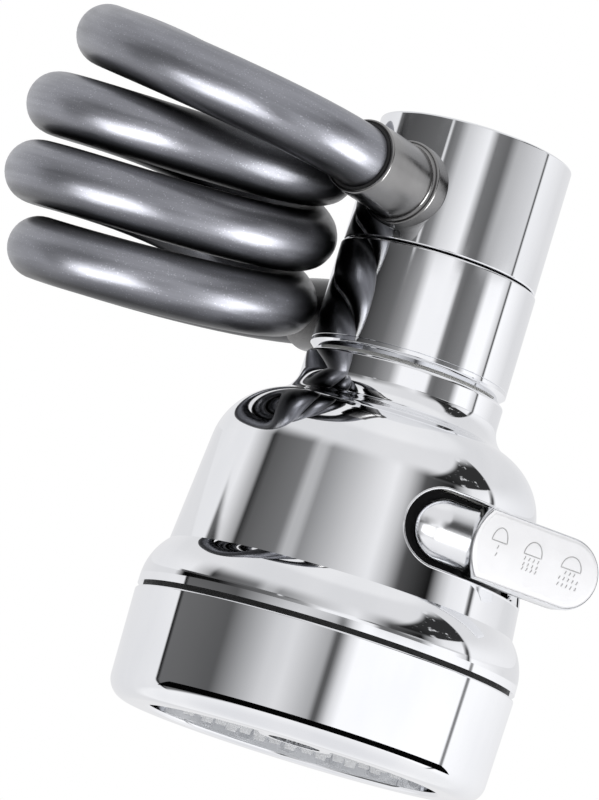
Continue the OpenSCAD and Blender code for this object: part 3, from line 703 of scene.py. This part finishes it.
def make_adapter():
    """The adapter's visible pieces, turned afresh."""
    shell = lathe("adapter_shell_turned", adapter_outline())
    ride_as(shell, CHROME, "adapter", "chrome_shell", "adapter_shell")
    thread = lathe("faucet_thread_ridged", thread_outline())
    ride_as(thread, BRASS, "adapter", "brass", "faucet_thread_insert")
    socket = lathe("upper_socket_turned", socket_outline(ADAPTER_R), 96, radial(180 + PORT_ANGLE, PORT_Z))
    ride_as(socket, GUNMETAL, "adapter", "gunmetal", "upper_hose_socket")


# ---- Handset ----

def neck_outline():
    """The neck's sleeve: a plain tube with a softened top edge."""
    edge, foot = 0.3, 0.15
    bore = SLEEVE_R - ADAPTER_WALL
    return closed(
        line((SLEEVE_R, COLLAR_Z + foot), (SLEEVE_R, SLEEVE_TOP - edge)),
        arc((SLEEVE_R - edge, SLEEVE_TOP - edge), edge, 0, 90),
        *corner((SLEEVE_R - edge, SLEEVE_TOP), (bore, SLEEVE_TOP), (bore, COLLAR_Z),
                (SLEEVE_R - foot, COLLAR_Z)),
    )


def collar_outline():
    """The collar: a short band that tapers into the groove."""
    bore, foot_r, band = SLEEVE_R - ADAPTER_WALL, SLEEVE_R - 0.9, 0.5
    return closed(*corner((foot_r, GROOVE_Z), (SLEEVE_R, COLLAR_Z - band), (SLEEVE_R, COLLAR_Z),
                          (bore, COLLAR_Z), (bore, GROOVE_Z), (foot_r, GROOVE_Z)))


FLARE_CENTRE = (MOUTH_R - FLARE_ROUND, MOUTH_Z + MOUTH_BAND)
CREASE_R = BODY_R + BODY_H * math.tan(math.radians(BODY_TAPER))
FLARE_FROM = math.degrees(math.acos((CREASE_R - FLARE_CENTRE[0]) / FLARE_ROUND))
CREASE_Z = FLARE_CENTRE[1] + FLARE_ROUND * math.sin(math.radians(FLARE_FROM))
SHOULDER_Z = CREASE_Z + BODY_H
SHOULDER = (BODY_R - SHOULDER_R * math.cos(math.radians(BODY_TAPER)),
            SHOULDER_Z - SHOULDER_R * math.sin(math.radians(BODY_TAPER)))
FILLET_X = BELL_NECK_R + NECK_FILLET
FILLET = (FILLET_X, SHOULDER[1] + math.sqrt((SHOULDER_R + NECK_FILLET) ** 2 - (FILLET_X - SHOULDER[0]) ** 2))
FILLET_TURN = math.degrees(math.atan2(FILLET[1] - SHOULDER[1], FILLET[0] - SHOULDER[0]))


def bell_outline():
    """The bell's section, from the mouth up the outside and back down the inside."""
    edge = 0.5
    bore = BELL_NECK_R - BELL_WALL
    inner_r, inner_h = MOUTH_R - BELL_WALL, 4.5
    return closed(
        line((MOUTH_R, MOUTH_Z), (MOUTH_R, FLARE_CENTRE[1])),
        arc(FLARE_CENTRE, FLARE_ROUND, 0, FLARE_FROM),
        arc(SHOULDER, SHOULDER_R, BODY_TAPER, FILLET_TURN),
        arc(FILLET, NECK_FILLET, 180 + FILLET_TURN, 180),
        arc((BELL_NECK_R - edge, BELL_Z - edge), edge, 0, 90),
        *corner((BELL_NECK_R - edge, BELL_Z), (bore, BELL_Z), (bore, SHOULDER[1] + SHOULDER_R - BELL_WALL)),
        arc(SHOULDER, SHOULDER_R - BELL_WALL, 90, BODY_TAPER),
        *corner((CREASE_R - BELL_WALL, CREASE_Z), (inner_r, MOUTH_Z + inner_h), (inner_r, MOUTH_Z)),
    )


SLOT_STEPS, SLOT_END_STEPS = 60, 24


def slot_rim():
    """The slot's edge as angles from +X, in degrees, and heights from the lever's level."""
    half = SLOT_H / 2
    end_turn = math.degrees(math.asin(half / BODY_R))
    first, last = SLOT_FROM + end_turn - 90, SLOT_TO - end_turn - 90
    rim = [(first + (last - first) * i / SLOT_STEPS, -half) for i in range(SLOT_STEPS + 1)]
    for i in range(1, SLOT_END_STEPS):
        a = math.radians(-90 + 180 * i / SLOT_END_STEPS)
        rim.append((last + math.degrees(math.asin(half * math.cos(a) / BODY_R)), half * math.sin(a)))
    rim += [(last + (first - last) * i / SLOT_STEPS, half) for i in range(SLOT_STEPS + 1)]
    for i in range(1, SLOT_END_STEPS):
        a = math.radians(90 + 180 * i / SLOT_END_STEPS)
        rim.append((first + math.degrees(math.asin(half * math.cos(a) / BODY_R)), half * math.sin(a)))
    return rim


def make_slot_rim():
    """The slot's softened edge: a fine round bead that follows it."""
    bead, proud = 0.22, 0.04
    route = []
    for turn, z in slot_rim():
        a = math.radians(turn)
        r = BODY_R + (SHOULDER_Z - LEVER_Z - z) * math.tan(math.radians(BODY_TAPER)) - bead + proud
        route.append(Vector((r * math.cos(a), r * math.sin(a), LEVER_Z + z)))
    ride_as(tube("slot_rim", route, bead, 12, True), CHROME, "handset", "chrome_shell")


def slot_cutter():
    """The lever's slot: a band round the bell with round ends, as one closed mesh."""
    inner, outer = CARRIER_R - 2.4, MOUTH_R
    rim = slot_rim()
    count = len(rim)
    vertices = []
    for r in (inner, outer):
        for turn, z in rim:
            a = math.radians(turn)
            vertices.append(Vector((r * math.cos(a), r * math.sin(a), LEVER_Z + z)))
    faces = [[k, (k + 1) % count, count + (k + 1) % count, count + k] for k in range(count)]
    # The inner and outer skins: quads between the rim's long edges, and one face for each round end.
    upper = SLOT_STEPS + SLOT_END_STEPS
    for skin in (0, count):
        for i in range(SLOT_STEPS):
            above = upper + SLOT_STEPS - i
            faces.append([skin + v for v in (i, above, above - 1, i + 1)])
        faces.append([skin + v for v in range(SLOT_STEPS, upper + 1)])
        faces.append([skin + v for v in (*range(upper + SLOT_STEPS, count), 0)])
    cutter = finish_mesh("slot_cutter", vertices, faces)
    bm = bmesh.new()
    bm.from_mesh(cutter.data)
    bmesh.ops.recalc_face_normals(bm, faces=bm.faces)
    bm.to_mesh(cutter.data)
    bm.free()
    return cutter


def make_handset():
    """The handset's visible pieces, turned afresh, and the bell with its slot."""
    ride_as(lathe("neck_sleeve_turned", neck_outline()), CHROME, "handset", "chrome_shell", "neck_sleeve")
    ride_as(lathe("neck_collar_turned", collar_outline()), CHROME, "handset", "chrome_shell", "neck_collar")
    socket = lathe("lower_socket_turned", socket_outline(SLEEVE_R), 96, radial(180 - PORT_ANGLE, LOWER_Z))
    ride_as(socket, GUNMETAL, "handset", "gunmetal", "lower_hose_socket")
    outline = bell_outline()
    bell = lathe("bell_turned", outline)
    cut(bell, slot_cutter())
    turned_normals(bell, outline)
    ride_as(bell, CHROME, "handset", "chrome_shell", "bell_housing")
    make_slot_rim()


# ---- Lever ----
AT_LEVER = Matrix.Translation((0, 0, LEVER_Z)) @ Matrix.Rotation(math.radians(LEVER_AT - 90), 4, "Z")
PAD_TOP = PAD_X + PAD_BEVEL
PAD_SOFT = 0.9        # round of the pad's edge
PAD_SEAM = 40         # where on that round the paddle's own part ends, in degrees
PAD_GAP = 13          # from there to the satin pad
SEAM_LEAN, SEAM_DEPTH = 0.02, 0.4
PAD_DEPTH = 0.5
EDGE_STEPS, PAD_STEPS = 5, 8
NECK_STEPS, NECK_ROUND_STEPS, NECK_TOP_STEPS = 12, 32, 16
SIDE_STEPS, TIP_STEPS, HEEL_STEPS = 8, 32, 24
WIRE_R = 0.078


def neck_ring(half, surface):
    """A round-ended line round the lever's neck, from its right end to the left and back."""
    points = []
    for i in range(NECK_STEPS + 1):
        points.append((NECK_END + (NECK_Y - NECK_END) * i / NECK_STEPS, half))
    for i in range(1, NECK_ROUND_STEPS):
        a = math.pi * (0.5 + i / NECK_ROUND_STEPS)
        points.append((NECK_Y + half * math.cos(a), half * math.sin(a)))
    for i in range(NECK_STEPS + 1):
        points.append((NECK_Y + (NECK_END - NECK_Y) * i / NECK_STEPS, -half))
    return [(surface(y, z), y, z) for y, z in points]


def make_lever_neck():
    """The lever's rounded neck, from the drum that it sits on out to its bulging front."""
    def foot(y, _):
        """How far out the drum's skin is."""
        return math.sqrt(PADDLE_X ** 2 - y * y)

    def front(y, z):
        """How far out the neck's bulging front is."""
        out = NECK_BULGE_R ** 2 - z * z - min(y - NECK_Y, 0) ** 2
        return NECK_FRONT - NECK_BULGE_R + math.sqrt(max(out, 0))

    edge = 0.35
    rings = [neck_ring(0, foot), neck_ring(NECK_HALF, foot)]
    for i in range(EDGE_STEPS + 1):
        a = math.radians(90 * i / EDGE_STEPS)
        inset, drop = edge * (1 - math.cos(a)), edge * (1 - math.sin(a))
        rings.append(neck_ring(NECK_HALF - inset, lambda y, z: front(y, z) - drop))
    for i in range(1, NECK_TOP_STEPS + 1):
        rings.append(neck_ring((NECK_HALF - edge) * (1 - i / NECK_TOP_STEPS), front))
    neck = loft("lever_neck", rings, AT_LEVER, False, 50)
    ride_as(neck, SOFT_CHROME, "selector", "chrome_lever")


def paddle_ring(inset, x):
    """The paddle's outline at this inset: along the bottom, round the tip and back to its curved heel."""
    half = PADDLE_HALF - inset
    centre = PAD_Y + PAD_ROUND
    heel_r = PAD_ROUND - inset
    heel_turn = math.asin(half / heel_r)
    start = centre - heel_r * math.cos(heel_turn)
    points = [(start + (TIP_Y - start) * i / SIDE_STEPS, -half) for i in range(SIDE_STEPS)]
    for i in range(TIP_STEPS + 1):
        a = math.pi * i / TIP_STEPS
        points.append((TIP_Y + half * math.sin(a), -half * math.cos(a)))
    points += [(TIP_Y + (start - TIP_Y) * i / SIDE_STEPS, half) for i in range(1, SIDE_STEPS)]
    for i in range(HEEL_STEPS):
        a = heel_turn * (1 - 2 * i / HEEL_STEPS)
        points.append((centre - heel_r * math.cos(a), heel_r * math.sin(a)))
    return [(x, y, z) for y, z in points]


def pad_edge(turn):
    """The inset and the height of the pad's rounded edge at this turn."""
    a = math.radians(turn)
    return PAD_SOFT * (1 - math.cos(a)), PAD_TOP - PAD_SOFT * (1 - math.sin(a))


def make_paddle():
    """The paddle's chrome rim, and the satin pad that fills it."""
    edge = 0.3
    rings = [paddle_ring(edge, PADDLE_X)]
    for i in range(1, EDGE_STEPS + 1):
        a = math.radians(90 * i / EDGE_STEPS)
        rings.append(paddle_ring(edge * (1 - math.sin(a)), PADDLE_X + edge * (1 - math.cos(a))))
    rings += [paddle_ring(*pad_edge(PAD_SEAM * i / PAD_STEPS)) for i in range(PAD_STEPS + 1)]
    inset, x = pad_edge(PAD_SEAM)
    rings.append(paddle_ring(inset + SEAM_LEAN, x - SEAM_DEPTH))
    ride_as(loft("lever_paddle", rings, AT_LEVER), SOFT_CHROME, "selector", "chrome_lever", "mode_lever")
    first = PAD_SEAM + PAD_GAP
    inset, x = pad_edge(first)
    rings = [paddle_ring(inset, x - PAD_DEPTH)]
    rings += [paddle_ring(*pad_edge(first + (90 - first) * i / PAD_STEPS)) for i in range(PAD_STEPS + 1)]
    ride_as(loft("lever_pad", rings, AT_LEVER), PAD, "selector", "chrome_lever")


def wire(name, points, loop):
    """A thin raised line on the pad through these points of its face."""
    route = [AT_LEVER @ Vector((PAD_TOP, y, z)) for y, z in points]
    piece = tube(name, route, WIRE_R, 8, loop)
    ride_as(piece, STEEL, "selector", "chrome_lever")


# Each spray icon: its middle and width along the paddle, the dome's base and top, and its rows of drops, as
# how many there are and their height.
ICONS = [
    (9.06, 2.4, 0.85, 2.8, [(1, 0.1), (1, -0.93)]),
    (14.6, 2.8, 0.56, 2.5, [(4, -0.04), (4, -0.86), (4, -1.5)]),
    (20.9, 3.2, 0.57, 2.43, [(3, 0.0), (5, -0.9), (5, -1.8)]),
]
DROP_STEP, DROP_LEAN, DROP_H = 0.72, 0.16, 0.48


def make_icons():
    """The three sprays: each a dome with rows of slanting drops below it."""
    for n, (middle, width, base, top, rows) in enumerate(ICONS, 1):
        dome = []
        for degrees in range(0, 181, 10):
            a = math.radians(degrees)
            dome.append((middle + width / 2 * math.cos(a), base + (top - base) * math.sin(a)))
        dome += [(middle + width * (i / 8 - 0.5), base) for i in range(1, 8)]
        wire(f"icon_{n}_dome", dome, True)
        for row, (count, z) in enumerate(rows, 1):
            for i in range(count):
                y = middle + DROP_STEP * (i - (count - 1) / 2)
                drop = [(y + DROP_LEAN * (0.5 - u * u), z + DROP_H * (0.5 - u)) for u in (0, 0.33, 0.67, 1)]
                wire(f"icon_{n}_drop_{row}_{i + 1}", drop, False)


# ---- Face ----

def ring_outline():
    """The face ring: a drafted outside, a wide round underneath and a lip round the spray face."""
    low_r = RING_R - RING_DRAFT
    lip = 0.6
    edge = 0.3
    bore = PLATE_R + SEAT_GAP
    spigot_r = MOUTH_R - BELL_WALL - SEAT_GAP
    top = RING_HIGH.z
    ring_z = box("face_gasket")[0].z
    draft = math.degrees(math.atan2(RING_DRAFT, ring_z - edge - RING_END - RING_EDGE))
    return closed(
        arc((low_r - RING_EDGE, RING_END + RING_EDGE), RING_EDGE, -90, -draft),
        arc((RING_R - edge, ring_z - edge), edge, 0, 90),
        *corner((RING_R - edge, ring_z), (spigot_r, ring_z), (spigot_r, top), (bore, top), (bore, PLATE_Z),
                (FACE_R, PLATE_Z)),
        line((FACE_R, PLATE_Z), (FACE_R, RING_END + lip)),
        arc((FACE_R + lip, RING_END + lip), lip, 180, 270),
    )


def make_face():
    """The face ring, turned afresh."""
    ride_as(lathe("face_ring_turned", ring_outline()), CHROME, "handset", "chrome_shell", "face_ring")


# ---- Stage ----

# The studio gives the light and is seen in reflections alone: pale walls, dark cards and softboxes. Each pair
# is an azimuth, in degrees from the front to the right, and the display tone there. Each part of the sprayer
# mirrors its own height of the studio, so each has its own row.
PANELS_LOW = [      # the face ring: a dark card that fades out, a grey stripe and a wide softbox
    (-180, 0.85), (-101, 0.9), (-100, 0.1), (-99, 0.1), (-97, 0.4), (-60, 0.35), (-30, 0.8), (-19, 0.85),
    (1, 0.65), (4, 0.35), (6, 0.35), (9, 0.65), (12, 0.85), (18, 1.0), (92, 1.0), (93, 0.15), (94, 0.15),
    (95, 1.0), (180, 0.85)]
PANELS_MIDDLE = [   # the sleeve: a black card that fades out, a softbox, a grey card, a second softbox
    (-180, 0.85), (-112, 0.85), (-104, 0.05), (-75, 0.1), (-60, 0.3), (-40, 0.4), (-19, 0.6), (-8, 0.95),
    (22, 0.95), (27, 0.45), (32, 0.4), (53, 0.5), (62, 1.0), (78, 1.0), (88, 0.8), (89, 0.1), (90, 0.1),
    (92, 1.0), (128, 0.85), (180, 0.85)]
PANELS_UPPER = [    # the adapter: the same cards, with a bright slit in the left one
    (-180, 0.85), (-110, 0.9), (-107, 0.4), (-100, 0.2), (-90, 0.3), (-36, 0.4), (-35, 0.9), (-34, 0.9),
    (-32, 0.4), (-24, 0.5), (-14, 0.8), (11, 0.95), (21, 0.45), (36, 0.4), (47, 0.7), (88, 0.85), (89, 0.1),
    (90, 0.1), (92, 0.95), (133, 0.85), (180, 0.85)]
PANELS_HIGH = [     # the bell: two dark cards with a softbox between them
    (-180, 0.85), (-101, 0.9), (-85, 0.6), (-82, 0.2), (-76, 0.35), (-51, 0.45), (-45, 0.7), (-40, 0.7),
    (-35, 0.55), (12, 0.9), (22, 0.75), (33, 0.3), (54, 0.1), (63, 0.75), (70, 0.9), (86, 0.95), (88, 0.3),
    (90, 0.3), (92, 0.95), (180, 0.85)]
PANELS_TOP = [(-180, 0.85), (180, 0.85)]    # the bell's shoulder and flare: a plain pale wall
# The heights, in degrees, over which each row gives way to the next.
ROWS = ((PANELS_MIDDLE, 5.4, 6.2), (PANELS_UPPER, 10.45, 10.65), (PANELS_HIGH, 12.4, 12.9),
        (PANELS_TOP, 16, 34))
PANEL_BLUE, CEILING_BLUE = 1.015, 1.01      # how much more blue than red they give
# A dark, spotted thing at the right. Its sides lean: each has its azimuths at the height PATCH_LEVEL, and how
# far it leans for each degree of height. PATCH_END is where it ends, whatever the height.
PATCH_LEVEL = 22.0
PATCH_LEFT, PATCH_RIGHT = (34, 42, 1.1), (68, 73, 4.0)
PATCH_BOTTOM, PATCH_TOP = (17, 22), (46, 57)
PATCH_END = (89, 91)
PATCH_SPOTS = (0.6, 0.68)   # the noise over which its pale spots begin
PATCH_COVER = 0.97
PATCH_COLOUR = (0.01, 0.01, 0.01, 1)
SKY = (56, 68)      # heights over which the ceiling takes over
CEILING = 0.9
UNDER = (-34, -26)  # heights below which the pale sheet under the sprayer is seen
DEEP = (-70, -30)   # heights over which that sheet brightens
SHEET_DEEP, SHEET_NEAR = (0.90, 0.90, 0.92, 1), (1.02, 1.02, 1.03, 1)


def light(tone, blue):
    """The light that the chrome shows as this display tone, with this much more blue."""
    level = tone ** DISPLAY_GAMMA / MIRROR
    return (level, level, level * blue, 1)


def share(tree, value, low, high):
    """A soft step from 0 at low to 1 at high."""
    return add(tree, "ShaderNodeMapRange", [("Value", value), ("From Min", low), ("From Max", high)],
               interpolation_type="SMOOTHSTEP").outputs["Result"]


def panels(tree, azimuth, stops):
    """One row of the studio: a ramp through its tones, all the way round."""
    turn = add(tree, "ShaderNodeMapRange", [("Value", azimuth), ("From Min", -180), ("From Max", 180)])
    node = add(tree, "ShaderNodeValToRGB", [("Fac", turn.outputs["Result"])])
    points = node.color_ramp.elements
    points.remove(points[-1])
    for i, (at, tone) in enumerate(stops):
        position = (at + 180) / 360
        point = points.new(position) if i else points[0]
        point.position = position
        point.color = light(tone, PANEL_BLUE)
    return node.outputs["Color"]


def spotted_patch(tree, direction, azimuth, height):
    """How much of the dark, spotted thing is seen in each direction."""
    rise = maths(tree, "SUBTRACT", height, PATCH_LEVEL)
    left, right = [share(tree, maths(tree, "SUBTRACT", azimuth, maths(tree, "MULTIPLY", rise, lean)), *ends)
                   for *ends, lean in (PATCH_LEFT, PATCH_RIGHT)]
    spots = noise(tree, 9.0, 3.0, place=direction)
    patch = maths(tree, "MULTIPLY", left, share(tree, height, *PATCH_BOTTOM))
    for outside in (right, share(tree, height, *PATCH_TOP), share(tree, azimuth, *PATCH_END),
                    share(tree, spots, *PATCH_SPOTS)):
        patch = maths(tree, "MULTIPLY", patch, maths(tree, "SUBTRACT", 1.0, outside))
    return patch


def studio_colour(tree):
    """The studio's colour in each direction."""
    direction = add(tree, "ShaderNodeTexCoord").outputs["Generated"]
    axes = add(tree, "ShaderNodeSeparateXYZ", [("Vector", direction)]).outputs
    front = maths(tree, "MULTIPLY", axes["Y"], -1.0)
    azimuth = maths(tree, "MULTIPLY", maths(tree, "ARCTAN2", axes["X"], front), 180 / math.pi)
    height = maths(tree, "MULTIPLY", maths(tree, "ARCSINE", axes["Z"]), 180 / math.pi)
    colour = panels(tree, azimuth, PANELS_LOW)
    for row, low, high in ROWS:
        colour = mix(tree, share(tree, height, low, high), colour, panels(tree, azimuth, row))
    colour = mix(tree, share(tree, height, *SKY), colour, light(CEILING, CEILING_BLUE))
    patch = maths(tree, "MULTIPLY", spotted_patch(tree, direction, azimuth, height), PATCH_COVER)
    colour = mix(tree, patch, colour, PATCH_COLOUR)
    sheet = mix(tree, share(tree, height, *DEEP), SHEET_DEEP, SHEET_NEAR)
    return mix(tree, share(tree, height, *UNDER), sheet, colour)


def make_world():
    """The studio for light and reflections, and plain white for the camera."""
    world = bpy.data.worlds.new("studio")
    bpy.context.scene.world = world
    world.use_nodes = True
    tree = world.node_tree
    tree.nodes.clear()
    studio = add(tree, "ShaderNodeBackground", [("Color", studio_colour(tree)), ("Strength", 1.0)])
    white = add(tree, "ShaderNodeBackground", [("Color", (1, 1, 1, 1)), ("Strength", 1.0)])
    path = add(tree, "ShaderNodeLightPath")
    either = add(tree, "ShaderNodeMixShader", [("Fac", path.outputs["Is Camera Ray"]),
                                               (1, studio.outputs[0]), (2, white.outputs[0])])
    add(tree, "ShaderNodeOutputWorld", [("Surface", either.outputs[0])])


def make_flag():
    """A black strip close round the front of the face ring, seen in reflections alone. It is the dark line
    along the ring's lower edge."""
    inner, outer = (RING_R + 3, RING_END + 0.15), (RING_R + 9, RING_END + 2.35)
    left, right, steps = -57, 60, 49
    points = []
    for r, z in (inner, outer):
        for a in np.radians(np.linspace(left, right, steps)):
            points.append((r * math.sin(a), -r * math.cos(a), z))
    faces = [[i, i + 1, steps + i + 1, steps + i] for i in range(steps - 1)]
    flag = finish_mesh("flag", points, faces)
    dress(flag, plain("black_flag", (0.002, 0.002, 0.002), (0.003, 0.003, 0.003), (0.8, 0.9), shine=0.0))
    flag.visible_camera = flag.visible_shadow = flag.visible_diffuse = False


def make_floor():
    """A plain pale floor, far enough below for the view from underneath."""
    half, depth = 2000, -420
    corners = [(-half, -half), (half, -half), (half, half), (-half, half)]
    floor = finish_mesh("floor", [Vector((x, y, depth)) for x, y in corners], [[0, 1, 2, 3]])
    dress(floor, plain("pale_floor", (0.90, 0.90, 0.90), (0.92, 0.92, 0.92), (0.6, 0.7), 40, 0.0001))
    floor.visible_glossy = False


def make_lamp(name, azimuth, height, away, target, size, radiance, *lit):
    """A soft rectangular lamp, seen from the target at this azimuth and height. away and size are in metres.
    With pieces named, it lights and is mirrored by them alone. Without, it only gives soft light."""
    a, h = math.radians(azimuth), math.radians(height)
    toward = Vector((math.sin(a) * math.cos(h), -math.cos(a) * math.cos(h), math.sin(h)))
    target = Vector(target) * MM
    data = bpy.data.lights.new(name, "AREA")
    data.shape = "RECTANGLE"
    data.size, data.size_y = size
    data.energy = radiance * math.pi * size[0] * size[1]
    lamp = bpy.data.objects.new(name, data)
    lamp.location = target + away * toward
    lamp.rotation_euler = (target - lamp.location).to_track_quat("-Z", "Y").to_euler()
    lamp.visible_camera = False
    lamp.visible_glossy = bool(lit)
    if lit:
        group = bpy.data.collections.new(f"{name}_lit")
        for piece in lit:
            group.objects.link(bpy.data.objects[piece])
        lamp.light_linking.receiver_collection = group
    bpy.context.scene.collection.objects.link(lamp)


bpy.context.scene.view_settings.view_transform = "Standard"
dress_frame()
make_camera()
make_hose()
make_adapter()
make_handset()
make_lever_neck()
make_paddle()
make_icons()
make_face()
make_world()
make_flag()
make_floor()
make_lamp("key", -30, 35, 1.0, (0, 0, -50), (0.5, 0.5), 6)
make_lamp("hose_left", -42, -34, 0.9, (-45, 0, 0), (0.85, 0.55), 6.5, "coiled_hose_tube")
make_lamp("hose_right", 70, -20, 0.9, (-45, 0, 0), (0.6, 0.5), 6.5,
          "coiled_hose_tube", "upper_socket_turned")
make_lamp("lever_fill", 20, -13, 0.6, (12, -24, -57), (1.8, 0.36), 0.85, "lever_neck", "lever_pad")
